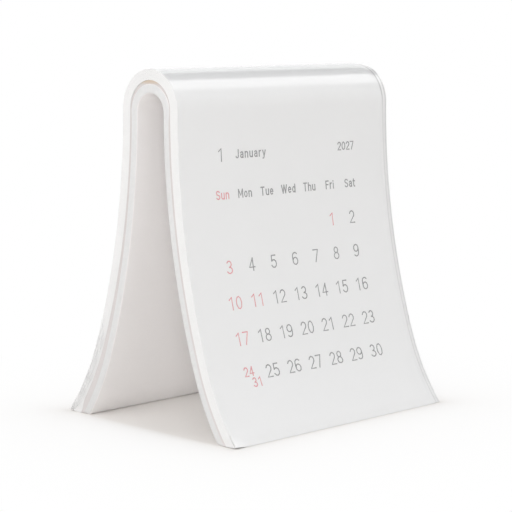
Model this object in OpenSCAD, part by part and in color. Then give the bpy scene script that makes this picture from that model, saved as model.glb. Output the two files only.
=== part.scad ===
// Tent-shaped desk calendar: a bent stand with a pad of calendar leaves draped over it.
// X runs along the ridge, the front page faces -Y, +Z is up, and the table is z = 0.
// The origin is at the middle of the tent's foot print, so the ridge lies a little in front of y = 0,
// because the pad's back half reaches out further.

/* [Tent] */
// Width of the tent along the ridge, where the stand and the pad are flush
ridge_w = 112; // [90:1:240]
// Height of the crest curve's centre above the table
crest_z = 115.6; // [105:0.1:125]

/* [Stand] */
// Radius of the outside of the stand's crest
stand_crest_r = 10.2; // [7:0.1:18]
// Thickness of the stand's wall
stand_wall = 3.4; // [1.5:0.1:5]
// How far the stand's crest stays below the arch of the pad
crest_drop = 1; // [0:0.1:3]

/* [Flare of the legs] */
// Bend radius of the long upper stretch of a leg
leg_bend_r = 278; // [262:1:400]
// Lean of a leg where its foot bend starts, in degrees from upright
leg_lean = 19; // [8:0.5:19.5]
// Bend radius of the foot
foot_bend_r = 94; // [80:1:102]

/* [Pad of leaves] */
// Thickness of one leaf
leaf_t = 0.3; // [0.15:0.05:0.4]
// Number of leaves in the pad
leaf_count = 13; // [8:1:14]
// Clearance between the pad and the stand's legs
pad_clearance = 0.3; // [0.2:0.05:0.5]
// How much shorter the top leaf is at the right end
top_leaf_short = 2.9; // [2:0.1:4]
// How much shorter the second leaf is at the right end
second_leaf_short = 1.4; // [0.5:0.1:1.8]
// Bend radius of the pad's back half, tighter than the stand's, so that it splays
splay_bend_r = 257; // [235:1:260]
// Lean of the pad's back half where its foot bend starts
splay_lean = 20; // [19.5:0.5:21]
// Bend radius of the foot of the pad's back half
splay_foot_r = 104; // [92:1:120]
// How far the outermost leaf's front edge is lifted off the table
front_lift = 0.8; // [0:0.1:1.5]
// How far the outermost leaf's back edge is lifted off the table
back_lift = 0.3; // [0:0.1:1.5]

/* [Print] */
// Thickness of the ink
ink_t = 0.08; // [0.05:0.01:0.15]
// Width of a printed stroke
pen_w = 0.42; // [0.3:0.01:0.6]
// Height of the dates and of the month's number
date_h = 4.9; // [3.5:0.1:5.5]
// Height of the words and of the year
word_h = 3.3; // [2:0.1:4]
// Height of the two dates that share one place
shared_h = 3.6; // [2:0.1:4]
// Distance between the weekday columns
column_pitch = 11.35; // [10:0.05:12]
// Distance between the rows of dates, along the page
row_pitch = 13; // [10:0.1:13.5]
// Distance from the end of the crest's curve to the weekday names, along the page
weekday_s = 30.6; // [26:0.1:34]
// Distance from the title to the weekday names, along the page
title_gap = 14.3; // [10:0.1:15]
// How far the print sits to the left of the page's middle
print_shift = 0.7; // [0:0.1:3]
// Distance from the first column's middle to that of the month's number
number_inset = 0.6; // [0:0.1:2]
// Distance from the first column's middle to the start of the month's name
name_inset = 8.2; // [6:0.1:10]
// Distance from the last column's middle to the end of the year
year_overhang = 3.8; // [0:0.1:5]
// Sideways step between the two dates that share one place
shared_step_x = 2.9; // [1:0.1:4]
// Step down the page between the two dates that share one place
shared_step_s = 4.1; // [3:0.1:5]
// How far those two dates sit to the right of their place's middle and below it
shared_shift = 1; // [0:0.1:1.2]
// How far the weekday names sit to the right of their columns' middles
weekday_shift = 0.5; // [0:0.1:1]

/* [Hidden] */

// Steps in the round stretches
crest_steps = 24;
leg_steps = 14;
foot_steps = 8;
// Spare length of a cut past what it cuts
spare = 2;
// Thickness of the whole pad, and how far its two faces lie outside the stand's outer face
pad_t = leaf_count * leaf_t;
pad_in = pad_clearance;
pad_out = pad_clearance + pad_t;
// Left and right ends, and the middle of the print across the top leaf
left_end = -ridge_w / 2;
right_end = ridge_w / 2;
print_mid = (left_end + right_end - top_leaf_short) / 2 - print_shift;

// A leg is a long gentle arc and then a foot arc, and both bend outward.
// A bend is [radius of the long arc, lean where the foot arc starts, radius of the foot arc],
// all for the stand's outer face. off is how far a face lies outside that one.
stand_bend = [leg_bend_r, leg_lean, foot_bend_r];
splay_bend = [splay_bend_r, splay_lean, splay_foot_r];

function long_r(bend, off) = bend[0] - off;
function foot_r(bend, off) = bend[2] - off;

// Distance out from the centre plane, and height, of the point on the long arc at a lean
function long_out(bend, off, lean) = stand_crest_r + off + long_r(bend, off) * (1 - cos(lean));
function long_up(bend, off, lean) = crest_z - long_r(bend, off) * sin(lean);

// The same for the foot arc, which starts where the long arc ends
function foot_out(bend, off, lean) =
    long_out(bend, off, bend[1]) + foot_r(bend, off) * (cos(bend[1]) - cos(lean));
function foot_up(bend, off, lean) =
    long_up(bend, off, bend[1]) - foot_r(bend, off) * (sin(lean) - sin(bend[1]));

// Lean at which the foot arc comes down to a height
function end_lean(bend, off, height) =
    asin(sin(bend[1]) + (long_up(bend, off, bend[1]) - height) / foot_r(bend, off));

// Points down one leg's face, as [out, up], from drop below the crest's centre to the height lift
function leg_face(bend, off, drop, lift) =
    let (first = asin(drop / long_r(bend, off)),
         last = end_lean(bend, off, lift))
    concat(
        [for (i = [0:leg_steps])
            let (lean = first + (bend[1] - first) * i / leg_steps)
            [long_out(bend, off, lean), long_up(bend, off, lean)]],
        [for (i = [1:foot_steps])
            let (lean = bend[1] + (last - bend[1]) * i / foot_steps)
            [foot_out(bend, off, lean), foot_up(bend, off, lean)]]
    );

// Points over the crest between the two legs, from front to back
function crest_face(off, drop) =
    [for (i = [1:crest_steps - 1])
        let (a = 180 - 180 * i / crest_steps)
        [(stand_crest_r + off) * cos(a), crest_z - drop + (stand_crest_r + off) * sin(a)]];

function to_front(points) = [for (p = points) [-p[0], p[1]]];
function reversed(points) = [for (i = [len(points) - 1:-1:0]) points[i]];

// One face of the tent as [y, z] points, from the front foot over the crest to the back foot
function stand_face(off) =
    concat(
        reversed(to_front(leg_face(stand_bend, off, crest_drop, 0))),
        crest_face(off, crest_drop),
        leg_face(stand_bend, off, crest_drop, 0)
    );

// The same for the pad, whose feet end at a height of their own
function pad_face(off, front_z, back_z) =
    concat(
        reversed(to_front(leg_face(stand_bend, off, 0, front_z))),
        crest_face(off, 0),
        leg_face(splay_bend, off, 0, back_z)
    );

// How far the pad's feet reach, and the ridge's place that puts y = 0 midway between them
front_reach = foot_out(stand_bend, pad_out, end_lean(stand_bend, pad_out, front_lift));
back_reach = foot_out(splay_bend, pad_out, end_lean(splay_bend, pad_out, back_lift));
ridge_y = (front_reach - back_reach) / 2;

// The solid between two faces, from x0 to x1
module band(inner, outer, x0, x1) {
    translate([x0, ridge_y, 0])
        rotate([90, 0, 90])
            linear_extrude(x1 - x0)
                polygon(concat(outer, reversed(inner)));
}

// Bent shell that carries the pad
module stand() {
    color("gainsboro")
        band(stand_face(-stand_wall), stand_face(0), left_end, right_end);
}

// What the outermost leaves lack at the right end
module leaf_ends(leaves, short) {
    band(pad_face(pad_out - leaves * leaf_t, -spare, -spare), pad_face(pad_out + spare, -spare, -spare),
         right_end - short, right_end + spare);
}

// The calendar leaves, one stack draped over the stand. The inner leaf stands on the table.
module page_pad() {
    color("white")
        difference() {
            band(pad_face(pad_in, 0, 0), pad_face(pad_out, front_lift, back_lift), left_end, right_end);
            leaf_ends(2, second_leaf_short);
            leaf_ends(1, top_leaf_short);
        }
}

// Lettering. Each sign is drawn with one pen in a cell whose height is 1, as
// [width, strokes, ovals]. A stroke is a list of points, and an oval is [centre, radii].
arc_step = 40;
mitre_ratio = 1.4;
digit_gap_ratio = 0.26;
letter_gap_ratio = 0.4;
weekday_gap_ratio = 0.34;

function arc(centre, radii, from, to) =
    let (steps = ceil(abs(to - from) / arc_step))
    [for (i = [0:steps])
        let (a = from + (to - from) * i / steps)
        [centre[0] + radii[0] * cos(a), centre[1] + radii[1] * sin(a)]];

digits = [
    [0.58, [], [[[0.29, 0.5], [0.29, 0.5]]]],
    [0.58, [[[0.1, 0.8], [0.38, 1], [0.38, 0]]], []],
    [0.56, [concat(arc([0.28, 0.72], [0.27, 0.28], 165, -30), [[0, 0], [0.56, 0]])], []],
    [0.56, [arc([0.27, 0.75], [0.24, 0.25], 150, -90),
            arc([0.27, 0.25], [0.29, 0.25], 90, -155)], []],
    [0.6, [[[0.42, 0], [0.42, 1]], [[0.42, 1], [0, 0.27], [0.6, 0.27]]], []],
    [0.56, [[[0.5, 1], [0.09, 1], [0.05, 0.56]],
            concat([[0.06, 0.54]], arc([0.27, 0.32], [0.29, 0.32], 110, -155))], []],
    [0.58, [concat(arc([0.31, 0.7], [0.29, 0.3], 40, 180), [[0.02, 0.36]])],
           [[[0.3, 0.3], [0.28, 0.3]]]],
    [0.56, [[[0, 1], [0.56, 1], [0.2, 0]]], []],
    [0.58, [], [[[0.29, 0.76], [0.23, 0.24]], [[0.29, 0.27], [0.29, 0.27]]]],
    [0.58, [concat(arc([0.27, 0.3], [0.29, 0.3], -140, 0), [[0.56, 0.64]])],
           [[[0.28, 0.7], [0.28, 0.3]]]]
];

bow = arc([0.22, 0.5], [0.22, 0.2], 180, 0);
letters = [
    ["F", [0.46, [[[0, 0], [0, 1], [0.46, 1]], [[0, 0.53], [0.4, 0.53]]], []]],
    ["J", [0.4, [concat([[0.4, 1]], arc([0.2, 0.22], [0.2, 0.22], 0, -165))], []]],
    ["M", [0.7, [[[0, 0], [0, 1]], [[0.03, 0.95], [0.35, 0.25], [0.67, 0.95]], [[0.7, 1], [0.7, 0]]], []]],
    ["S", [0.54, [concat(arc([0.27, 0.76], [0.25, 0.24], 25, 235),
                         arc([0.27, 0.25], [0.27, 0.25], 55, -155))], []]],
    ["T", [0.56, [[[0, 1], [0.56, 1]], [[0.28, 1], [0.28, 0]]], []]],
    ["W", [0.9, [[[0, 1], [0.22, 0]], [[0.22, 0], [0.45, 1]],
                 [[0.45, 1], [0.68, 0]], [[0.68, 0], [0.9, 1]]], []]],
    ["a", [0.42, [concat(arc([0.21, 0.52], [0.21, 0.18], 155, 0), [[0.42, 0]]),
                  concat([[0.42, 0.41]], arc([0.2, 0.2], [0.2, 0.2], 100, 290),
                         [[0.42, 0.14]])], []]],
    ["d", [0.44, [[[0.44, 0], [0.44, 1]]], [[[0.21, 0.35], [0.21, 0.35]]]]],
    ["e", [0.44, [[[0.06, 0.37], [0.4, 0.37]], arc([0.22, 0.35], [0.22, 0.35], 0, 315)], []]],
    ["h", [0.44, [[[0, 0], [0, 1]], concat(bow, [[0.44, 0]])], []]],
    ["i", [0.05, [[[0, 0], [0, 0.66]], [[0, 0.93], [0, 0.97]]], []]],
    ["n", [0.44, [[[0, 0], [0, 0.7]], concat(bow, [[0.44, 0]])], []]],
    ["o", [0.44, [], [[[0.22, 0.35], [0.22, 0.35]]]]],
    ["r", [0.26, [[[0, 0], [0, 0.7]], arc([0.24, 0.44], [0.24, 0.26], 180, 85)], []]],
    ["t", [0.28, [[[0.1, 0.95], [0.1, 0.12], [0.2, 0], [0.28, 0]], [[0, 0.7], [0.28, 0.7]]], []]],
    ["u", [0.44, [concat([[0, 0.7]], arc([0.22, 0.2], [0.22, 0.2], 180, 360)),
                  [[0.44, 0.7], [0.44, 0]]], []]],
    ["y", [0.44, [[[0, 0.7], [0.22, 0]], [[0.44, 0.7], [0.15, -0.26], [0, -0.28]]], []]]
];

function letter_sign(c) = letters[search([c], letters)[0]][1];
function word_signs(text) = [for (c = text) letter_sign(c)];
function number_signs(n) =
    n < 10 ? [digits[n]] : concat(number_signs(floor(n / 10)), [digits[n % 10]]);

// Width of a row of signs in cell units, and where its sign i starts
function start_of(signs, gap, i) = i == 0 ? 0 : start_of(signs, gap, i - 1) + signs[i - 1][0] + gap;
function row_width(signs, gap) = start_of(signs, gap, len(signs) - 1) + signs[len(signs) - 1][0];

function unit(v) = v / norm(v);
// Offset of the pen's edge at point i of a stroke, for a pen 2 wide
function pen_edge(path, i) =
    let (last = len(path) - 1,
         before = unit(path[max(i, 1)] - path[max(i, 1) - 1]),
         after = unit(path[min(i, last - 1) + 1] - path[min(i, last - 1)]),
         way = unit(before + after))
    [-way[1], way[0]] * min(mitre_ratio, 1 / (way * before));
// A stroke's two ends reach half a pen past its first and last points
function with_ends(path) =
    let (last = len(path) - 1)
    [for (i = [0:last])
        i == 0 ? path[0] + unit(path[0] - path[1]) * pen_w / 2
        : i == last ? path[last] + unit(path[last] - path[last - 1]) * pen_w / 2
        : path[i]];
function pen_outline(path) =
    let (line = with_ends(path), last = len(path) - 1)
    concat([for (i = [0:last]) line[i] + pen_edge(line, i) * pen_w / 2],
           [for (i = [last:-1:0]) line[i] - pen_edge(line, i) * pen_w / 2]);

// Height of the top leaf's face at the distance s down the page from the end of the crest's curve
function page_up(s) =
    let (r = long_r(stand_bend, pad_out),
         long_s = r * leg_lean * PI / 180)
    s < long_s
        ? long_up(stand_bend, pad_out, s / r * 180 / PI)
        : foot_up(stand_bend, pad_out,
                  leg_lean + (s - long_s) / foot_r(stand_bend, pad_out) * 180 / PI);

// A sign's points, at [x, y] from the sign's corner, seen from the front as [x, height]
function on_page(points, x, s) = [for (p = points) [x + p[0], page_up(s - p[1])]];

module sign_shape(sign, size, x, s) {
    for (path = sign[1])
        polygon(on_page(pen_outline(path * size), x, s));
    for (oval = sign[2])
        difference() {
            polygon(on_page(oval_edge(oval * size, pen_w / 2), x, s));
            polygon(on_page(oval_edge(oval * size, -pen_w / 2), x, s));
        }
}

function oval_edge(oval, grow) =
    arc(oval[0], [oval[1][0] + grow, oval[1][1] + grow], 0, 360 - arc_step);

// A row of signs, overall height high, with its middle at s and its left end at x
module signs_from(signs, gap, high, x, s) {
    size = high - pen_w;
    for (i = [0:len(signs) - 1])
        sign_shape(signs[i], size, x + pen_w / 2 + start_of(signs, gap, i) * size, s + size / 2);
}

module signs_centred(signs, gap, high, x, s) {
    width = row_width(signs, gap) * (high - pen_w) + pen_w;
    signs_from(signs, gap, high, x - width / 2, s);
}

// The month page
month_number = 1;
month_name = "January";
year = 2027;
weekdays = ["Sun", "Mon", "Tue", "Wed", "Thu", "Fri", "Sat"];
day_count = 31;
first_column = 5;
row_count = 5;
holidays = [1, 11];

function column_x(column) = print_mid + (column - 3) * column_pitch;
function week_s(row) = weekday_s + (row + 1) * row_pitch;
function place_of(day) = day - 1 + first_column;
function is_red(day) = place_of(day) % 7 == 0 || len(search(day, holidays)) > 0;
// A day past the last row shares the place above it
function shares_down(day) = place_of(day) >= 7 * row_count;
function shares_up(day) = place_of(day) >= 7 * (row_count - 1) && day + 7 <= day_count;

module date(day) {
    signs = number_signs(day);
    x = column_x(place_of(day) % 7);
    s = week_s(min(floor(place_of(day) / 7), row_count - 1));
    if (shares_down(day))
        signs_centred(signs, digit_gap_ratio, shared_h, x + shared_shift + shared_step_x / 2,
                      s + shared_shift + shared_step_s / 2);
    else if (shares_up(day))
        signs_centred(signs, digit_gap_ratio, shared_h, x + shared_shift - shared_step_x / 2,
                      s + shared_shift - shared_step_s / 2);
    else
        signs_centred(signs, digit_gap_ratio, date_h, x, s);
}

module weekday_name(column) {
    signs_centred(word_signs(weekdays[column]), weekday_gap_ratio, word_h,
                  column_x(column) + weekday_shift, weekday_s);
}

module title() {
    s = weekday_s - title_gap;
    signs_centred(number_signs(month_number), digit_gap_ratio, date_h, column_x(0) + number_inset, s);
    signs_from(word_signs(month_name), letter_gap_ratio, word_h, column_x(0) + name_inset, s);
    year_w = row_width(number_signs(year), digit_gap_ratio) * (word_h - pen_w) + pen_w;
    signs_from(number_signs(year), digit_gap_ratio, word_h, column_x(6) + year_overhang - year_w, s);
}

// Ink on the top leaf: the shapes' outlines, cut out of a film that follows the leaf's face
module inked() {
    intersection() {
        band(pad_face(pad_out, front_lift, back_lift), pad_face(pad_out + ink_t, front_lift, back_lift),
             left_end, right_end - top_leaf_short);
        translate([0, ridge_y, 0])
            rotate([90, 0, 0])
                linear_extrude(front_reach + spare)
                    children();
    }
}

// Grey print: the title, the weekday names and the weekdays' dates
module print_grey() {
    color("darkgray")
        inked() {
            title();
            for (column = [1:6])
                weekday_name(column);
            for (day = [1:day_count])
                if (!is_red(day))
                    date(day);
        }
}

// Red print: the Sundays and the holidays
module print_red() {
    color("lightcoral")
        inked() {
            weekday_name(0);
            for (day = [1:day_count])
                if (is_red(day))
                    date(day);
        }
}

stand();
page_pad();
print_grey();
print_red();
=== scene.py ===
"""Looks for a tent-shaped desk calendar: a bent board stand with a pad of month leaves draped over it.

X runs along the ridge, the front page faces -Y and the table is z = 0. All sizes are in metres.
"""

import math
import random

import bmesh
import bpy
from bpy.props import FloatProperty, FloatVectorProperty, IntProperty, PointerProperty
from mathutils import Matrix, Vector


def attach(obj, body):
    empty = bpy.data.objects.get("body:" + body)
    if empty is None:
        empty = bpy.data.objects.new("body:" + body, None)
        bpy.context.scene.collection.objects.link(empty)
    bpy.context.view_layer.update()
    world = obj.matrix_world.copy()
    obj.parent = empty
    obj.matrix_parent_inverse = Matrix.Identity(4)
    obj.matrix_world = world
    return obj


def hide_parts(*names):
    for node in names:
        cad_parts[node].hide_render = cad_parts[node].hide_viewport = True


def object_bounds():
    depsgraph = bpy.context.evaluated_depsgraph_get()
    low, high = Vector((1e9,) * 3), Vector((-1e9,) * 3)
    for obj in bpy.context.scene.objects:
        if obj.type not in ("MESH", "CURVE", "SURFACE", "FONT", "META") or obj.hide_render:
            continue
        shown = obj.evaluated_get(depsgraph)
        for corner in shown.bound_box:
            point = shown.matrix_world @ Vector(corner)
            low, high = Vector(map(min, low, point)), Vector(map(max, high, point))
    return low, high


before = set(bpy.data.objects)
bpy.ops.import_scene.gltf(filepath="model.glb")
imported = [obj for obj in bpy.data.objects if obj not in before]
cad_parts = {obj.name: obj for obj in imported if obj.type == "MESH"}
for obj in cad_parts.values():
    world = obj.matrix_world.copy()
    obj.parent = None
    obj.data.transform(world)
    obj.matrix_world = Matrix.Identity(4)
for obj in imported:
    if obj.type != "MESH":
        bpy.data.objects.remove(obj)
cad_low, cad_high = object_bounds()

bl_info = {
    "name": "Tent desk calendar",
    "version": (1, 0, 0),
    "blender": (4, 5, 0),
    "location": "3D View > Sidebar > Desk calendar",
    "description": "Builds a tent desk calendar around its CAD frame",
    "category": "Object",
}


# Sizes and colours

def length(label, text, default):
    return FloatProperty(name=label, description=text, default=default, min=0, precision=5,
                         subtype="DISTANCE", unit="LENGTH")


def angle(label, text, degrees):
    return FloatProperty(name=label, description=text, default=math.radians(degrees),
                         subtype="ANGLE", unit="ROTATION")


def colour(label, text, default):
    return FloatVectorProperty(name=label, description=text, default=default, size=4,
                               min=0, max=1, subtype="COLOR")


def ratio(label, text, default):
    return FloatProperty(name=label, description=text, default=default, min=0, subtype="FACTOR")


class TentSizes(bpy.types.PropertyGroup):
    """Sizes of the bent stand and of both legs' flare"""
    width: length("Ridge width", "Width of the tent along the ridge", cad_high.x - cad_low.x)
    ridge_y: length("Ridge place", "How far the ridge lies in front of the middle of the foot print", 0.00146)
    crest_z: length("Crest height", "Height of the crest curve's centre above the table", 0.1156)
    crest_r: length("Crest radius", "Radius of the outside of the stand's crest", 0.0102)
    crest_drop: length("Crest drop", "How far the stand's crest stays below the arch of the pad", 0.001)
    wall: length("Board thickness", "Thickness of the stand's wall", 0.0034)
    soft_edge: length("Softened edge", "Rounding of the board's cut edges", 0.0006)
    leg_r: length("Leg bend", "Bend radius of the long upper stretch of a leg", 0.278)
    leg_lean: angle("Leg lean", "Lean of a leg where its foot bend starts", 19)
    foot_r: length("Foot bend", "Bend radius of the foot", 0.094)


class PadSizes(bpy.types.PropertyGroup):
    """Sizes of the pad of leaves"""
    leaves: IntProperty(name="Leaves", description="Number of leaves in the pad", default=13, min=3, max=14)
    pitch: length("Leaf pitch", "Distance from one leaf to the next", 0.0003)
    clearance: length("Clearance", "Clearance between the pad and the stand's legs", 0.0003)
    top_short: length("Top leaf step", "How much shorter the top leaf is at the right end", 0.0032)
    second_short: length("Second leaf step", "How much shorter the second leaf is at the right end", 0.0012)
    splay_r: length("Back leaf bend", "Bend radius of the pad's back half", 0.257)
    splay_lean: angle("Back leaf lean", "Lean of the pad's back half where its foot bend starts", 20)
    splay_foot_r: length("Back foot bend", "Bend radius of the foot of the pad's back half", 0.104)
    front_lift: length("Front lift", "Lift of the outermost leaf at the front left corner", 0.0003)
    back_lift: length("Back lift", "Lift of the outermost leaf's back edge", 0.0003)
    edge_curl: length("Edge curl", "How far the top leaf's right edge dips on the crest", 0.00028)
    corner_lift: length("Corner lift", "How far the top leaf's front left corner stands off", 0.0004)
    step_lift: length("Step lift", "How far the two short leaves' right edges stand off on the legs", 0.0005)
    # insets of the thin sheet that carries the painted gap shade
    gap_shade_inset: length("Gap shade inset", "How far the backing stops short of the legs' ends", 0.00002)
    gap_shade_inset_crest: length("Crest backing inset", "How far it stops short of the crest's ends", 0.00035)
    nick: length("Nick", "Depth of the small nick where the loose leaves begin", 0.0012)
    loose_slide: length("Loose slide", "How far the loose leaves slip sideways at the back foot", 0.0005)
    tight_share: ratio("Pressed share", "Share of the pitch that a pressed leaf fills", 0.955)
    loose_share: ratio("Loose share", "Share of the pitch that a loose leaf fills at the back foot", 0.77)


class CalendarColours(bpy.types.PropertyGroup):
    """Colours of the paper, the board, the inks, the painted shade in the gap and beside the leaf steps, and
    the studio
    """
    page: colour("Page", "Coated face of the leaves", (0.895, 0.90, 0.905, 1))
    page_cut: colour("Page cut", "Cut edges of the leaves", (0.935, 0.935, 0.935, 1))
    board: colour("Board", "Face of the bent stand", (0.94, 0.92, 0.915, 1))
    # painted shade: the warm grey of the shade in the gap between the stand and the leaves, laid on the thin
    # sheet that fills that gap
    backing: colour("Backing", "Warm sheet that the leaves are glued to", (0.73, 0.69, 0.685, 1))
    # painted shade: the darker tan of the crevice between the stand and the leaves on top of the crest
    crest_gap_shade: colour("Crest gap shade", "Yellowed glue of the backing sheet on the crest", (0.70, 0.59, 0.485, 1))
    board_cut: colour("Board cut", "Cut edges of the bent stand", (0.815, 0.817, 0.82, 1))
    # the colour that leaves and board turn towards, patchily, within a few millimetres of the table
    near_table_tone: colour("Dust", "Soft grime where the feet touch the table", (0.62, 0.60, 0.57, 1))
    # painted shadow: the grey of the lines beside the steps of the two short leaves
    step_shadow: colour("Painted step shadow", "Dust along the steps of the short leaves", (0.50, 0.495, 0.50, 1))
    grey_ink: colour("Grey ink", "Ink of the working days and the title", (0.235, 0.235, 0.24, 1))
    red_ink: colour("Red ink", "Ink of the Sundays and the holidays", (0.74, 0.29, 0.31, 1))
    floor: colour("Floor", "Pale studio floor", (0.89, 0.865, 0.84, 1))


# Shape of the tent

class Leg:
    """A flared leg in section: a long gentle arc and then a tighter foot arc, both bending outward.
    off is how far a face lies outside the stand's outer face."""

    def __init__(self, tent, long_r, lean, foot_r):
        self.crest_r, self.crest_z = tent.crest_r, tent.crest_z
        self.long_r, self.lean, self.foot_r = long_r, lean, foot_r

    def long_at(self, off, lean):
        r = self.long_r - off
        return self.crest_r + off + r * (1 - math.cos(lean)), self.crest_z - r * math.sin(lean)

    def at(self, off, lean):
        """Distance out from the ridge, and height, where the face leans that much."""
        if lean <= self.lean:
            return self.long_at(off, lean)
        out, up = self.long_at(off, self.lean)
        r = self.foot_r - off
        return (out + r * (math.cos(self.lean) - math.cos(lean)),
                up - r * (math.sin(lean) - math.sin(self.lean)))

    def end_lean(self, off, height):
        up = self.long_at(off, self.lean)[1]
        return math.asin(math.sin(self.lean) + (up - height) / (self.foot_r - off))

    def leans(self, off, drop, height, long_steps=30, foot_steps=16):
        first, last = math.asin(drop / (self.long_r - off)), self.end_lean(off, height)
        return ([first + (self.lean - first) * i / long_steps for i in range(long_steps + 1)]
                + [self.lean + (last - self.lean) * i / foot_steps for i in range(1, foot_steps + 1)])


def tent_section(tent, front, back, off, drop, front_z, back_z, crest_steps=48):
    """One face of the tent from the front foot over the crest to the back foot.
    Each row is its place and its outward direction as (y, z) pairs."""
    rows = []
    for lean in reversed(front.leans(off, drop, front_z)):
        out, up = front.at(off, lean)
        rows.append((Vector((-out, up)), Vector((-math.cos(lean), math.sin(lean)))))
    for i in range(1, crest_steps):
        a = math.pi * (1 - i / crest_steps)
        way = Vector((math.cos(a), math.sin(a)))
        rows.append((way * (tent.crest_r + off) + Vector((0, tent.crest_z - drop)), way))
    for lean in back.leans(off, drop, back_z):
        out, up = back.at(off, lean)
        rows.append((Vector((out, up)), Vector((math.cos(lean), math.sin(lean)))))
    return [(place - Vector((tent.ridge_y, 0)), way) for place, way in rows]


def along(rows):
    """Distance of each row from the front foot."""
    total, found = 0, [0]
    for (a, _), (b, _) in zip(rows, rows[1:]):
        total += (b - a).length
        found.append(total)
    return found


def ease(t):
    t = min(max(t, 0), 1)
    return t * t * (3 - 2 * t)


def shell_mesh(name, outer, inner):
    """A closed shell between two grids of points, each a list of rows of columns."""
    mesh = bmesh.new()
    grids = [[[mesh.verts.new(p) for p in row] for row in grid] for grid in (outer, inner)]
    last_row, last = len(outer) - 1, len(outer[0]) - 1
    for side, grid in enumerate(grids):
        for r in range(last_row):
            for c in range(last):
                corners = [grid[r][c], grid[r][c + 1], grid[r + 1][c + 1], grid[r + 1][c]]
                mesh.faces.new(corners if side == 0 else corners[::-1])
    out, into = grids
    for r in range(last_row):
        mesh.faces.new([out[r + 1][0], into[r + 1][0], into[r][0], out[r][0]])
        mesh.faces.new([out[r][last], into[r][last], into[r + 1][last], out[r + 1][last]])
    for c in range(last):
        mesh.faces.new([out[0][c], into[0][c], into[0][c + 1], out[0][c + 1]])
        mesh.faces.new([out[last_row][c + 1], into[last_row][c + 1], into[last_row][c], out[last_row][c]])
    bmesh.ops.recalc_face_normals(mesh, faces=mesh.faces)
    return mesh


def add_piece(name, parts, material, node, crease=35):
    """Puts one or more bmeshes into one smooth object that rides on the calendar's body."""
    mesh = bpy.data.meshes.new(name)
    joined = bmesh.new()
    for part in parts:
        part.to_mesh(mesh)
        joined.from_mesh(mesh)
        part.free()
    joined.to_mesh(mesh)
    joined.free()
    mesh.shade_smooth()
    mesh.set_sharp_from_angle(angle=math.radians(crease))
    mesh.materials.append(material)
    made = bpy.data.objects.new(name, mesh)
    bpy.context.scene.collection.objects.link(made)
    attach(made, "root")
    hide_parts(node)
    return made


# Materials

def add_node(tree, kind, sockets=None, **settings):
    made = tree.nodes.new(kind)
    for name, value in settings.items():
        setattr(made, name, value)
    for name, value in (sockets or {}).items():
        if isinstance(value, bpy.types.NodeSocket):
            tree.links.new(value, made.inputs[name])
        else:
            made.inputs[name].default_value = value
    return made


def maths(tree, operation, a, b=0.0, clamp=False):
    return add_node(tree, "ShaderNodeMath", {0: a, 1: b}, operation=operation, use_clamp=clamp).outputs[0]


def vector_maths(tree, operation, a, b=(0.0, 0.0, 0.0)):
    return add_node(tree, "ShaderNodeVectorMath", {0: a, 1: b}, operation=operation).outputs


def mix_colour(tree, factor, a, b):
    return add_node(tree, "ShaderNodeMix", {0: factor, 6: a, 7: b}, data_type="RGBA").outputs[2]


def noise(tree, place, scale, detail, **more):
    """Grey value of a cloudy noise."""
    sockets = {"Vector": place, "Scale": scale, "Detail": detail, **more}
    return add_node(tree, "ShaderNodeTexNoise", sockets).outputs["Fac"]


def ramp(tree, value, first, last, at_first=0.0, at_last=1.0, kind="SMOOTHSTEP"):
    """Goes from at_first to at_last while the value goes from first to last."""
    return add_node(tree, "ShaderNodeMapRange", {0: value, 1: first, 2: last, 3: at_first, 4: at_last},
                    interpolation_type=kind).outputs[0]


def toned(tree, tint, tone):
    """A colour made lighter or darker; a tone of 1 leaves it as it is."""
    return add_node(tree, "ShaderNodeVectorMath", {0: tint, "Scale": tone}, operation="SCALE").outputs[0]


def swing(tree, value, strength):
    """A noise value made to swing evenly about 0."""
    return maths(tree, "MULTIPLY", maths(tree, "SUBTRACT", value, 0.5), strength)


def place_in(tree):
    return add_node(tree, "ShaderNodeTexCoord").outputs["Object"]


def axis_of(tree, vector, axis):
    return add_node(tree, "ShaderNodeSeparateXYZ", {0: vector}).outputs["XYZ".index(axis)]


def start_group(name, inputs, outputs):
    group = bpy.data.node_groups.new(name, "ShaderNodeTree")
    for label, kind, default in inputs:
        made = group.interface.new_socket(label, in_out="INPUT", socket_type="NodeSocket" + kind)
        made.default_value = default
    for label, kind in outputs:
        group.interface.new_socket(label, in_out="OUTPUT", socket_type="NodeSocket" + kind)
    return group, group.nodes.new("NodeGroupInput").outputs, group.nodes.new("NodeGroupOutput")


def use_group(tree, name, **sockets):
    made = add_node(tree, "ShaderNodeGroup", node_tree=bpy.data.node_groups[name])
    for label, value in sockets.items():
        socket = made.inputs[label.replace("_", " ")]
        if isinstance(value, bpy.types.NodeSocket):
            tree.links.new(value, socket)
        else:
            socket.default_value = value
    return made.outputs


def make_paper_grain():
    """Cloudy tone and fine fibres, as in any paper or board."""
    group, given, out = start_group(
        "Paper grain",
        [("Colour", "Color", (0.9, 0.9, 0.9, 1)), ("Cloud", "Float", 0.03), ("Cloud scale", "Float", 70),
         ("Fibre", "Float", 0.03), ("Fibre scale", "Float", 2200), ("Roughness", "Float", 0.5)],
        [("Colour", "Color"), ("Roughness", "Float"), ("Height", "Float")])
    place = place_in(group)
    cloud = noise(group, place, given["Cloud scale"], 3.0)
    fibre = noise(group, place, given["Fibre scale"], 5.0, Roughness=0.72, Distortion=0.6)
    cloudy, fibrous = swing(group, cloud, given["Cloud"]), swing(group, fibre, given["Fibre"])
    tone = maths(group, "ADD", maths(group, "ADD", cloudy, fibrous), 1.0)
    gloss_swing = 1.6
    polish = maths(group, "MULTIPLY", cloudy, gloss_swing)
    rough = maths(group, "SUBTRACT", given["Roughness"], polish, clamp=True)
    group.links.new(toned(group, given["Colour"], tone), out.inputs["Colour"])
    group.links.new(rough, out.inputs["Roughness"])
    group.links.new(fibre, out.inputs["Height"])


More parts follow.
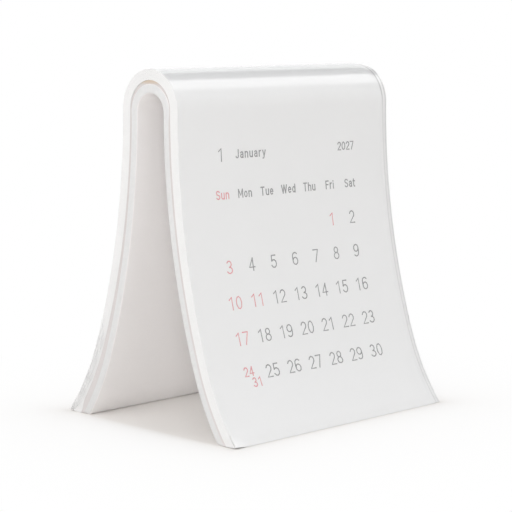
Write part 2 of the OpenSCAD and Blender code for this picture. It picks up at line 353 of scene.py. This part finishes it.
def make_cut_edge():
    """Mask and tone of the guillotined faces, which look along the ridge."""
    group, given, out = start_group(
        "Cut edge",
        [("Colour", "Color", (0.9, 0.9, 0.9, 1)), ("Cut colour", "Color", (0.9, 0.9, 0.9, 1)),
         ("Streak", "Float", 0.08), ("Streak scale", "Float", 900)],
        [("Colour", "Color"), ("Mask", "Float")])
    facing = axis_of(group, add_node(group, "ShaderNodeNewGeometry").outputs["Normal"], "X")
    mask = ramp(group, maths(group, "ABSOLUTE", facing), 0.6, 0.9)
    streak = noise(group, place_in(group), given["Streak scale"], 4.0)
    cut = toned(group, given["Cut colour"], maths(group, "ADD", swing(group, streak, given["Streak"]), 1.0))
    group.links.new(mix_colour(group, mask, given["Colour"], cut), out.inputs["Colour"])
    group.links.new(mask, out.inputs["Mask"])


def make_near_table_darkening():
    """Soft uneven darkening towards the table."""
    group, given, out = start_group(
        "Near table darkening",
        [("Colour", "Color", (0.9, 0.9, 0.9, 1)), ("Dust colour", "Color", (0.6, 0.6, 0.6, 1)),
         ("Reach", "Float", 0.006), ("Strength", "Float", 0.3)],
        [("Colour", "Color")])
    place = place_in(group)
    near_table = ramp(group, axis_of(group, place, "Z"), 0.0, given["Reach"], 1.0, 0.0)
    patchy = maths(group, "MULTIPLY", near_table, noise(group, place, 240.0, 4.0))
    amount = maths(group, "MULTIPLY", patchy, given["Strength"], clamp=True)
    darkened = mix_colour(group, amount, given["Colour"], given["Dust colour"])
    group.links.new(darkened, out.inputs["Colour"])


def make_step_shadow():
    """Painted shadow: an uneven grey line beside the step to a shorter leaf, where the step's shadow falls.
    """
    group, given, out = start_group(
        "Painted step shadow",
        [("Colour", "Color", (0.9, 0.9, 0.9, 1)), ("Dust colour", "Color", (0.6, 0.6, 0.6, 1)),
         ("Place", "Float", 0.05), ("Width", "Float", 0.001), ("Strength", "Float", 0.5)],
        [("Colour", "Color")])
    place = place_in(group)
    aside = maths(group, "ABSOLUTE", maths(group, "SUBTRACT", axis_of(group, place, "X"), given["Place"]))
    line = ramp(group, aside, 0.0, given["Width"], 1.0, 0.0)
    uneven = maths(group, "ADD", maths(group, "MULTIPLY", noise(group, place, 160.0, 3.0), 0.5), 0.75)
    amount = maths(group, "MULTIPLY", maths(group, "MULTIPLY", line, uneven), given["Strength"], clamp=True)
    darkened = mix_colour(group, amount, given["Colour"], given["Dust colour"])
    group.links.new(darkened, out.inputs["Colour"])


def make_printed_ink():
    """Ink that lies a little unevenly on coated paper."""
    group, given, out = start_group(
        "Printed ink",
        [("Ink", "Color", (0.2, 0.2, 0.2, 1)), ("Paper", "Color", (0.9, 0.9, 0.9, 1)),
         ("Speckle", "Float", 0.3), ("Speckle scale", "Float", 5200)],
        [("Colour", "Color"), ("Cover", "Float")])
    place = place_in(group)
    speck = noise(group, place, given["Speckle scale"], 2.0)
    thin = maths(group, "MULTIPLY", ramp(group, speck, 0.5, 0.75, kind="LINEAR"), given["Speckle"])
    uneven = maths(group, "MULTIPLY", noise(group, place, 130.0, 2.0), 0.16)
    bare = maths(group, "ADD", thin, uneven, clamp=True)
    group.links.new(mix_colour(group, bare, given["Ink"], given["Paper"]), out.inputs["Colour"])
    group.links.new(maths(group, "SUBTRACT", 1.0, bare), out.inputs["Cover"])


def make_shared_effects():
    make_paper_grain()
    make_cut_edge()
    make_near_table_darkening()
    make_step_shadow()
    make_printed_ink()


def start_material(name):
    material = bpy.data.materials.new(name)
    material.use_nodes = True
    tree = material.node_tree
    return material, tree, tree.nodes["Principled BSDF"]


def feed(tree, shader, sockets):
    for name, value in sockets.items():
        if isinstance(value, bpy.types.NodeSocket):
            tree.links.new(value, shader.inputs[name])
        else:
            shader.inputs[name].default_value = value


def bump(tree, height, strength, distance):
    sockets = {"Height": height, "Strength": strength, "Distance": distance}
    return add_node(tree, "ShaderNodeBump", sockets).outputs[0]


def satin_paper(colours, right_end, pad):
    """Coated, calendered leaf paper with clean guillotined edges."""
    material, tree, shader = start_material("satin_leaf_paper")
    grain = use_group(tree, "Paper grain", Colour=tuple(colours.page), Cloud=0.02, Cloud_scale=55.0,
                      Fibre=0.03, Fibre_scale=2600.0, Roughness=0.42)
    cut = use_group(tree, "Cut edge", Colour=grain["Colour"], Cut_colour=tuple(colours.page_cut),
                    Streak=0.06, Streak_scale=1400.0)
    darkened = use_group(tree, "Near table darkening", Colour=cut["Colour"], Dust_colour=tuple(colours.near_table_tone),
                      Reach=0.005, Strength=0.16)
    # painted shadow: grey lines on the leaves just past the steps of the top and the second leaf
    past_step = 0.0003
    for short, strength in ((pad.top_short, 0.75), (pad.second_short, 0.7)):
        darkened = use_group(tree, "Painted step shadow", Colour=darkened["Colour"], Dust_colour=tuple(colours.step_shadow),
                          Place=right_end - short + past_step, Width=0.0008, Strength=strength)
    coated = maths(tree, "SUBTRACT", 1.0, maths(tree, "MULTIPLY", cut["Mask"], 0.85), clamp=True)
    feed(tree, shader, {"Base Color": darkened["Colour"], "Roughness": grain["Roughness"],
                        "Specular IOR Level": 0.3,
                        "Coat Weight": coated, "Coat Roughness": 0.11, "Coat IOR": 1.5,
                        "Normal": bump(tree, grain["Height"], 0.12, 0.00003)})
    return material


def matt_board(colours):
    """Uncoated white board of the bent stand, a little greyer and rougher than the leaves."""
    material, tree, shader = start_material("matt_stand_board")
    grain = use_group(tree, "Paper grain", Colour=tuple(colours.board), Cloud=0.035, Cloud_scale=38.0,
                      Fibre=0.07, Fibre_scale=1500.0, Roughness=0.78)
    cut = use_group(tree, "Cut edge", Colour=grain["Colour"], Cut_colour=tuple(colours.board_cut),
                    Streak=0.1, Streak_scale=700.0)
    darkened = use_group(tree, "Near table darkening", Colour=cut["Colour"], Dust_colour=tuple(colours.near_table_tone),
                      Reach=0.008, Strength=0.3)
    feed(tree, shader, {"Base Color": darkened["Colour"], "Roughness": grain["Roughness"],
                        "Specular IOR Level": 0.35, "Normal": bump(tree, grain["Height"], 0.3, 0.00006)})
    return material


def gap_shade_material(colours):
    """Painted shade of the gap between the leaves and the stand, on the thin sheet that fills it: warm grey,
    paler towards the feet, and a darker tan in the crevice on top of the crest."""
    material, tree, shader = start_material("painted_gap_shade")
    grain = use_group(tree, "Paper grain", Colour=tuple(colours.backing), Cloud=0.08, Cloud_scale=120.0,
                      Fibre=0.16, Fibre_scale=1900.0, Roughness=0.85)
    height = axis_of(tree, place_in(tree), "Z")
    # the painted gap shade turns paler towards the feet
    pale_low, pale_high, palest = 0.01, 0.075, 0.22
    # painted shade: the crevice on top of the crest turns a darker tan
    crest_shade_low, crest_shade_high = 0.1242, 0.1256
    pale = ramp(tree, height, pale_low, pale_high, palest, 0.0)
    in_crest_gap = ramp(tree, height, crest_shade_low, crest_shade_high)
    faded = mix_colour(tree, pale, grain["Colour"], tuple(colours.page_cut))
    gap_shaded = mix_colour(tree, in_crest_gap, faded, tuple(colours.crest_gap_shade))
    feed(tree, shader, {"Base Color": gap_shaded, "Roughness": grain["Roughness"], "Specular IOR Level": 0.25,
                        "Normal": bump(tree, grain["Height"], 0.35, 0.00006)})
    return material


def ink(name, colours, tint):
    """Offset ink: slightly uneven, and as glossy as the coating below it."""
    material, tree, shader = start_material(name)
    printed = use_group(tree, "Printed ink", Ink=tuple(tint), Paper=tuple(colours.page),
                        Speckle=0.35, Speckle_scale=5200.0)
    grain = use_group(tree, "Paper grain", Colour=printed["Colour"], Cloud=0.02, Cloud_scale=55.0,
                      Fibre=0.05, Fibre_scale=2600.0, Roughness=0.4)
    coated = maths(tree, "MULTIPLY", printed["Cover"], 0.6)
    feed(tree, shader, {"Base Color": grain["Colour"], "Roughness": grain["Roughness"],
                        "Specular IOR Level": 0.3,
                        "Coat Weight": coated, "Coat Roughness": 0.2, "Coat IOR": 1.5,
                        "Normal": bump(tree, grain["Height"], 0.1, 0.00003)})
    return material


# Operators

class DESKCAL_OT_stand(bpy.types.Operator):
    """Bend the board stand under the leaves"""
    bl_idname = "deskcal.stand"
    bl_label = "Board stand"

    def execute(self, context):
        tent, colours = context.scene.tent_sizes, context.scene.calendar_colours
        leg = Leg(tent, tent.leg_r, tent.leg_lean, tent.foot_r)
        half, steps = tent.width / 2, 14
        columns = [-half + tent.width * i / steps for i in range(steps + 1)]
        outer, inner = (
            [[(x, place.x, place.y) for x in columns]
             for place, _ in tent_section(tent, leg, leg, off, tent.crest_drop, 0, 0)]
            for off in (0, -tent.wall))
        shell = shell_mesh("stand", outer, inner)
        sharp_angle = math.radians(40)
        sharp = [e for e in shell.edges if e.is_manifold and e.calc_face_angle() > sharp_angle]
        bmesh.ops.bevel(shell, geom=sharp, offset=tent.soft_edge, segments=3, profile=0.5, affect="EDGES")
        add_piece("bent_board_stand", [shell], matt_board(colours), "stand")
        return {"FINISHED"}


def foot_wedge(height, top=0.0062, share=0.85):
    """Share of the gap behind the stand that the innermost leaf fills near the table, where the sheet that
    carries the painted gap shade does not fill it."""
    return share * ease((top - height) / top)


class LeafPlan:
    """Where leaf number i of the pad lies: its offsets, its ends and how it leaves the stack."""
    # height of the front edge above the table
    front_z = 0.0001
    # what chance gives each leaf: its small sideways shift, and its share and phase of the loose slip
    first_seed, most_shift, least_slip, most_phase = 40, 0.00005, 0.1, 6
    # how fast the slip of the loose leaves comes and goes, in radians per metre
    slip_waves = 420
    # where the leaves part, along the leaf from the back foot
    parting, parting_span = 0.0385, 0.004
    # the innermost leaves are pressed together again where they meet the table: how many of them, how far
    # from the back foot the first is, how much less each next one, and the length over which that fades
    meeting_leaves, meeting_reach, meeting_less, meeting_span = 6, 0.0052, 0.0008, 0.001
    # which leaves have the nick, counted from the top leaf, and where it is from the back foot
    nicked, nick_place, nick_span = range(3, 7), 0.0375, 0.0017
    # each leaf's share of the curl and of the step's lift, counted from the top leaf
    curl_shares, lift_shares = {0: 1, 1: 0.45, 2: 0.12}, {0: 1, 1: 0.7}
    # the stretch over the crest where the outermost leaves' right ends curl down
    crest_shift, crest_half, crest_span = 0.001, 0.026, 0.010
    # how far in from the right end the curl and the step's lift reach, and the size of the lifted corner
    curl_width, step_width = 0.0032, 0.0018
    corner_width, corner_length = 0.007, 0.011

    def __init__(self, scene, i):
        self.tent, self.pad, self.i = scene.tent_sizes, scene.pad_sizes, i
        tent, pad = self.tent, self.pad
        self.front = Leg(tent, tent.leg_r, tent.leg_lean, tent.foot_r)
        self.back = Leg(tent, pad.splay_r, pad.splay_lean, pad.splay_foot_r)
        self.low = pad.clearance + i * pad.pitch
        self.from_top = pad.leaves - 1 - i
        self.short = (pad.top_short, pad.second_short)[self.from_top] if self.from_top < 2 else 0
        chance = random.Random(self.first_seed + i)
        self.shift = chance.uniform(0, self.most_shift)
        self.slide = chance.uniform(self.least_slip, 1) * pad.loose_slide
        self.wave = chance.uniform(0, self.most_phase)

    def rows(self, off):
        share = (off - self.pad.clearance) / (self.pad.pitch * self.pad.leaves)
        return tent_section(self.tent, self.front, self.back, off, 0,
                            self.front_z, self.pad.back_lift * share)

    def wedged(self, rows):
        """The innermost leaf's inner face, which fills the gap behind the stand near the table."""
        stand = tent_section(self.tent, self.front, self.front, self.low, self.tent.crest_drop,
                             self.front_z, self.front_z)
        return [(far.lerp(near, foot_wedge(far.y)), way) if k > len(rows) / 2 else (far, way)
                for k, ((far, way), (near, _)) in enumerate(zip(rows, stand))]

    def looseness(self, from_back):
        """1 near the back foot, 0 above it, where the leaves lie pressed together.
        The innermost leaves are pressed together again where they meet the table."""
        if self.i == 0:
            return 0
        loose = ease((self.parting - from_back) / self.parting_span)
        if self.i < self.meeting_leaves:
            meeting = self.meeting_reach - self.meeting_less * self.i
            loose *= 1 - ease((meeting - from_back) / self.meeting_span)
        return loose

    def left_end(self, from_back, loose):
        """Place of the left end, which slips a little where the leaf is loose."""
        left = -self.tent.width / 2 + self.shift
        left += self.slide * loose * (0.5 + 0.5 * math.sin(from_back * self.slip_waves + self.wave))
        if self.from_top in self.nicked:
            left += self.pad.nick * max(0, 1 - abs(from_back - self.nick_place) / self.nick_span)
        return left

    def grids(self, columns):
        """The leaf's outer and inner grid; columns are shares of its width."""
        pad = self.pad
        outer, inner = self.rows(self.low + pad.pitch), self.rows(self.low)
        if self.i == 0:
            inner = self.wedged(inner)
        places = along(outer)
        right = self.tent.width / 2 - self.short - self.shift
        faces = [], []
        for (outside, way), (inside, _), at in zip(outer, inner, places):
            from_back = places[-1] - at
            loose = self.looseness(from_back)
            share = pad.tight_share + (pad.loose_share - pad.tight_share) * loose
            left = self.left_end(from_back, loose)
            for face, place in zip(faces, (outside, outside + (inside - outside) * share)):
                face.append([self.settle(left, right, left + (right - left) * c, place, way, at, places[-1])
                             for c in columns])
        return faces

    def settle(self, left, right, x, place, way, at, total):
        """Moves a point off its nominal face for curled edges and the lifted corner."""
        pad = self.pad
        crest = ease((self.crest_half - abs(at - 0.5 * total + self.crest_shift)) / self.crest_span)
        curl = self.curl_shares.get(self.from_top, 0)
        out = -pad.edge_curl * curl * crest * max(0, 1 - (right - x) / self.curl_width) ** 2
        lift = self.lift_shares.get(self.from_top, 0)
        out += pad.step_lift * lift * (1 - crest) * max(0, 1 - (right - x) / self.step_width) ** 2
        corner = ease(max(0, 1 - (x - left) / self.corner_width) * max(0, 1 - at / self.corner_length))
        if self.from_top == 0:
            out += pad.corner_lift * corner
        up = pad.front_lift * corner * (self.i + 1) / pad.leaves
        return (x, place.x + way.x * out + way.y * up, place.y + way.y * out - way.x * up)


def end_columns(steps, finer, reach, closing=1.8):
    """Shares of a leaf's width, ever closer together towards both ends."""
    edge = [reach * (i / finer) ** closing for i in range(finer)]
    middle = [reach + (1 - 2 * reach) * i / steps for i in range(steps + 1)]
    return edge + middle + [1 - e for e in reversed(edge)]


class DESKCAL_OT_leaves(bpy.types.Operator):
    """Stack the month leaves over the stand"""
    bl_idname = "deskcal.leaves"
    bl_label = "Month leaves"

    def execute(self, context):
        scene = context.scene
        paper = satin_paper(scene.calendar_colours, scene.tent_sizes.width / 2, scene.pad_sizes)
        count = scene.pad_sizes.leaves
        columns = end_columns(steps=4, finer=2, reach=0.02)
        stack = [shell_mesh("leaf", *LeafPlan(scene, i).grids(columns)) for i in range(count - 2)]
        add_piece("pressed_leaves", stack, paper, "page_pad")
        fine_columns = end_columns(steps=16, finer=14, reach=0.05)
        for i, name in ((count - 2, "second_leaf"), (count - 1, "top_leaf")):
            leaf = shell_mesh(name, *LeafPlan(scene, i).grids(fine_columns))
            add_piece(name, [leaf], paper, "page_pad")
        return {"FINISHED"}


class DESKCAL_OT_gap_shade(bpy.types.Operator):
    """Fit the thin sheet between the stand and the leaves, whose colour is the painted shade of that gap"""
    bl_idname = "deskcal.backing"
    bl_label = "Gap shade sheet"

    def execute(self, context):
        tent, pad = context.scene.tent_sizes, context.scene.pad_sizes
        leg = Leg(tent, tent.leg_r, tent.leg_lean, tent.foot_r)
        back = Leg(tent, pad.splay_r, pad.splay_lean, pad.splay_foot_r)
        clearance_filled, wall_covered, foot_z = 0.92, 0.16, 0.0002
        outer_off, inner_off = pad.clearance * clearance_filled, -tent.wall * wall_covered
        outside = tent_section(tent, leg, back, outer_off, 0, foot_z, foot_z)
        hugging = tent_section(tent, leg, leg, pad.clearance, tent.crest_drop, foot_z, foot_z)
        inside = tent_section(tent, leg, leg, inner_off, tent.crest_drop, foot_z, foot_z)
        crest_reach, crest_span = 0.004, 0.010
        grids, steps = ([], []), 14
        for k, ((far, _), (near, _), (under, _)) in enumerate(zip(outside, hugging, inside)):
            if k > len(outside) / 2:
                far = far.lerp(near, foot_wedge(far.y))
            crest = ease((far.y - tent.crest_z + crest_reach) / crest_span)
            inset = pad.gap_shade_inset + (pad.gap_shade_inset_crest - pad.gap_shade_inset) * crest
            half = tent.width / 2 - inset
            for grid, place in zip(grids, (far, under)):
                grid.append([(half * (2 * i / steps - 1), place.x, place.y) for i in range(steps + 1)])
        outer, inner = grids
        # the sheet's colour is the painted shade of the gap between the stand and the leaves
        add_piece("painted_gap_shade_sheet", [shell_mesh("backing", outer, inner)],
                  gap_shade_material(context.scene.calendar_colours), "page_pad")
        return {"FINISHED"}


class DESKCAL_OT_print(bpy.types.Operator):
    """Ink the printed month"""
    bl_idname = "deskcal.print"
    bl_label = "Printed month"

    def execute(self, context):
        colours = context.scene.calendar_colours
        inks = ("print_grey", "grey_ink", colours.grey_ink), ("print_red", "red_ink", colours.red_ink)
        for node, name, tint in inks:
            material = ink(name, colours, tint)
            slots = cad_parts[node].material_slots
            if not slots:
                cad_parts[node].data.materials.append(material)
            for slot in slots:
                slot.material = material
        return {"FINISHED"}


def level_sheet(name, low, high, z):
    """A level rectangle between two corners, for the floor and the ceiling."""
    (left, front), (right, back) = low, high
    mesh = bpy.data.meshes.new(name)
    corners = [(left, front, z), (right, front, z), (right, back, z), (left, back, z)]
    mesh.from_pydata(corners, [], [(0, 1, 2, 3)])
    made = bpy.data.objects.new(name, mesh)
    bpy.context.scene.collection.objects.link(made)
    return made


def add_lamp(name, place, target, width, depth, brightness, mirrored=True):
    """A rectangular lamp. brightness is that of its face, where 1 is white; mirrored says whether
    glossy surfaces show an image of it."""
    lamp = bpy.data.lights.new(name, "AREA")
    lamp.shape, lamp.size, lamp.size_y = "RECTANGLE", width, depth
    lamp.energy = brightness * math.pi * width * depth
    made = bpy.data.objects.new(name, lamp)
    bpy.context.scene.collection.objects.link(made)
    made.location = place
    way = Vector(target) - Vector(place)
    if way.x or way.y:
        made.rotation_euler = way.to_track_quat("-Z", "Y").to_euler()
    made.visible_glossy = mirrored
    return made


def white_to_eye(tree):
    """1 for the rays that show the background itself: camera, mirror and glass."""
    rays = add_node(tree, "ShaderNodeLightPath").outputs
    seen = maths(tree, "MAXIMUM", rays["Is Camera Ray"], rays["Is Glossy Ray"])
    return maths(tree, "MAXIMUM", seen, rays["Is Transmission Ray"])


class DESKCAL_OT_studio(bpy.types.Operator):
    """Set the floor, the lamps and the camera"""
    bl_idname = "deskcal.studio"
    bl_label = "Studio"

    def execute(self, context):
        scene = context.scene
        self.add_floor(scene.calendar_colours)
        self.add_lamps()
        self.add_world(scene)
        self.add_camera(scene)
        scene.view_settings.view_transform = "Standard"
        return {"FINISHED"}

    def add_floor(self, colours, reach=4.0):
        floor = level_sheet("floor", (-reach, -reach), (reach, reach), 0)
        material, tree, shader = start_material("pale_floor")
        place = place_in(tree)
        tone = maths(tree, "ADD", maths(tree, "MULTIPLY", noise(tree, place, 9.0, 3.0), 0.02), 0.99)
        feed(tree, shader, {"Base Color": toned(tree, tuple(colours.floor)[:3], tone),
                            "Roughness": 0.9, "Specular IOR Level": 0.1})
        # the floor turns white with the distance outside the foot print, so the shadow below the tent stays
        foot = ((cad_high.x - cad_low.x) / 2, (cad_high.y - cad_low.y) / 2, 0)
        beside = vector_maths(tree, "SUBTRACT", vector_maths(tree, "ABSOLUTE", place)[0], foot)[0]
        away = vector_maths(tree, "LENGTH", vector_maths(tree, "MAXIMUM", beside, (0, 0, 0))[0])["Value"]
        half_white, full = 0.004, 1.04
        whiter = maths(tree, "DIVIDE", away, maths(tree, "ADD", away, half_white))
        far = maths(tree, "MULTIPLY", whiter, full, clamp=True)
        white = add_node(tree, "ShaderNodeEmission", {"Color": (1, 1, 1, 1), "Strength": 1.0}).outputs[0]
        share = maths(tree, "MULTIPLY", far, white_to_eye(tree))
        mixed = add_node(tree, "ShaderNodeMixShader", {0: share, 1: shader.outputs[0], 2: white}).outputs[0]
        tree.links.new(mixed, tree.nodes["Material Output"].inputs["Surface"])
        floor.data.materials.append(material)

    def add_lamps(self):
        middle = (0, 0, 0.06)
        # The softbox that the crest mirrors ends straight above the ridge, and a dark ceiling strip
        # follows behind it. The fills have no mirror images, so the coated paper stays even.
        add_lamp("softbox", (1.25, -0.37, 1.20), (1.25, -0.37, 0), 1.3, 0.72, 1.4)
        add_lamp("top_panel", (-0.75, 0, 1.25), (-0.75, 0, 0), 2.3, 1.8, 1.9)
        add_lamp("near_camera", (-0.80, -0.66, 0.24), middle, 0.5, 0.4, 5.7, mirrored=False)
        add_lamp("right_fill", (0.95, 0, 0.30), middle, 1.2, 0.6, 2.1, mirrored=False)
        add_lamp("front_right_fill", (1.2, -0.6, 0.5), (0, 0, 0.05), 0.9, 0.6, 1.1, mirrored=False)
        add_lamp("back_fill", (0, 1.6, 0.85), middle, 3.2, 1.6, 1.25, mirrored=False)
        ceiling = level_sheet("dark_ceiling", (-0.7, 0), (2.6, 0.70), 1.21)
        material, _, shader = start_material("dark_ceiling")
        shader.inputs["Base Color"].default_value = (0.02, 0.02, 0.02, 1)
        shader.inputs["Roughness"].default_value = 0.9
        ceiling.data.materials.append(material)

    def add_world(self, scene):
        world = bpy.data.worlds.new("studio")
        world.use_nodes = True
        tree = world.node_tree
        white = add_node(tree, "ShaderNodeBackground", {"Color": (1, 1, 1, 1), "Strength": 1.0}).outputs[0]
        unlit = tree.nodes["Background"]
        unlit.inputs["Color"].default_value = (1, 1, 1, 1)
        unlit.inputs["Strength"].default_value = 0.0
        sockets = {0: white_to_eye(tree), 1: unlit.outputs[0], 2: white}
        mixed = add_node(tree, "ShaderNodeMixShader", sockets).outputs[0]
        tree.links.new(mixed, tree.nodes["World Output"].inputs["Surface"])
        scene.world = world

    def add_camera(self, scene):
        place = (-0.4989, -0.4924, 0.1524)
        turn, down, roll = (math.radians(a) for a in (44.67, 7.67, 0.20))
        focal_pixels, frame_pixels, sensor = 1862, 512, 36
        ahead = Vector((math.cos(down) * math.cos(turn), math.cos(down) * math.sin(turn), -math.sin(down)))
        side = Vector((math.sin(turn), -math.cos(turn), 0))
        top = side.cross(ahead)
        rolled_side = side * math.cos(roll) + top * math.sin(roll)
        rolled_top = top * math.cos(roll) - side * math.sin(roll)
        camera = bpy.data.objects.new("camera", bpy.data.cameras.new("camera"))
        camera.data.sensor_width = sensor
        camera.data.lens = focal_pixels / frame_pixels * sensor
        camera.data.clip_end = 50
        scene.collection.objects.link(camera)
        facing = Matrix((rolled_side, rolled_top, -ahead)).transposed().to_4x4()
        camera.matrix_world = Matrix.Translation(place) @ facing
        scene.camera = camera


class DESKCAL_PT_panel(bpy.types.Panel):
    """Sizes, colours and building steps of the desk calendar"""
    bl_idname = "DESKCAL_PT_panel"
    bl_label = "Desk calendar"
    bl_space_type = "VIEW_3D"
    bl_region_type = "UI"
    bl_category = "Desk calendar"

    def draw(self, context):
        for group in (context.scene.tent_sizes, context.scene.pad_sizes, context.scene.calendar_colours):
            box = self.layout.box()
            for name in type(group).__annotations__:
                box.prop(group, name)
        for operator in OPERATORS:
            self.layout.operator(operator.bl_idname)


GROUPS = {"tent_sizes": TentSizes, "pad_sizes": PadSizes, "calendar_colours": CalendarColours}
OPERATORS = [DESKCAL_OT_stand, DESKCAL_OT_gap_shade, DESKCAL_OT_leaves, DESKCAL_OT_print, DESKCAL_OT_studio]


def register():
    for made in [*GROUPS.values(), *OPERATORS, DESKCAL_PT_panel]:
        bpy.utils.register_class(made)
    for name, group in GROUPS.items():
        setattr(bpy.types.Scene, name, PointerProperty(type=group))


def unregister():
    for name in GROUPS:
        delattr(bpy.types.Scene, name)
    for made in reversed([*GROUPS.values(), *OPERATORS, DESKCAL_PT_panel]):
        bpy.utils.unregister_class(made)


def main():
    register()
    make_shared_effects()
    bpy.ops.deskcal.stand()
    bpy.ops.deskcal.backing()
    bpy.ops.deskcal.leaves()
    bpy.ops.deskcal.print()
    bpy.ops.deskcal.studio()


if __name__ == "__main__":
    main()
